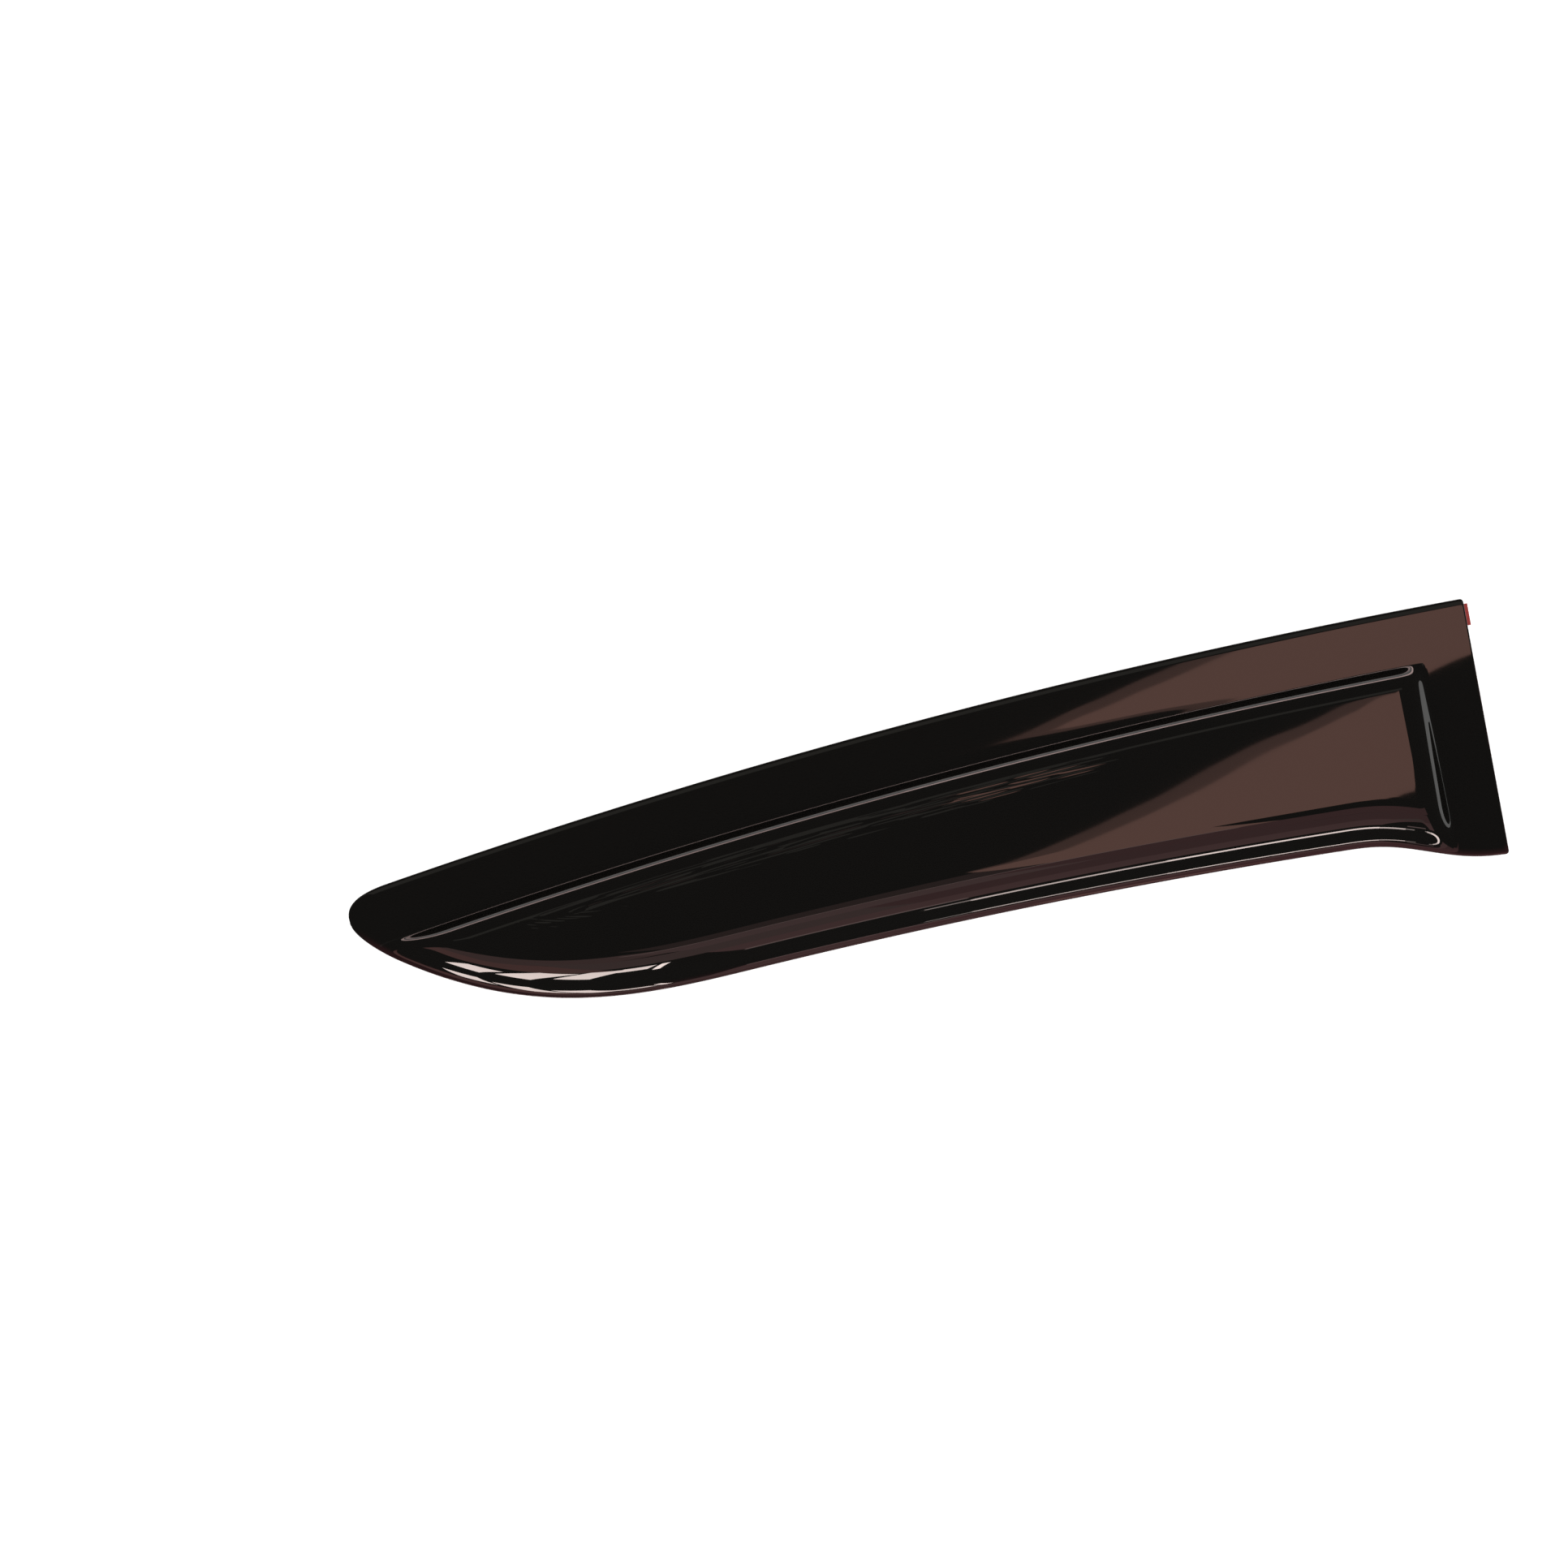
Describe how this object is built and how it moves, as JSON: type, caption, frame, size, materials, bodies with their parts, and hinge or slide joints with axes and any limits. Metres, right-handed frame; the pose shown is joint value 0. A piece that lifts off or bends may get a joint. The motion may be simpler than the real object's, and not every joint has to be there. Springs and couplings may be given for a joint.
{
  "type": "window rain deflector",
  "caption": "Smoke-tinted moulded side-window rain deflector: flat taped flange, raised shield and turned lower rim, with a tapered rounded nose and a square end.",
  "frame": {"origin": "middle of the long tape strip's outer face, which is the plane that the deflector is pressed on to", "axes": "+X along the deflector from its nose to its square end, +Y towards the top edge, +Z out of the window, away from the door frame"},
  "size_m": [0.5303, 0.1286, 0.0128],
  "materials": {
    "smoke_acrylic": "polished smoke-tinted acrylic, near black in the sheet and reddish brown at its cut edge",
    "foam_tape": "matt dark grey closed-cell acrylic foam",
    "release_film": "thin red release film, satin"
  },
  "bodies": {
    "root": {"deflector": "smoke_acrylic", "top_tape": "foam_tape", "end_tape": "foam_tape", "top_liner": "release_film", "end_liner": "release_film"}
  },
  "joints": []
}
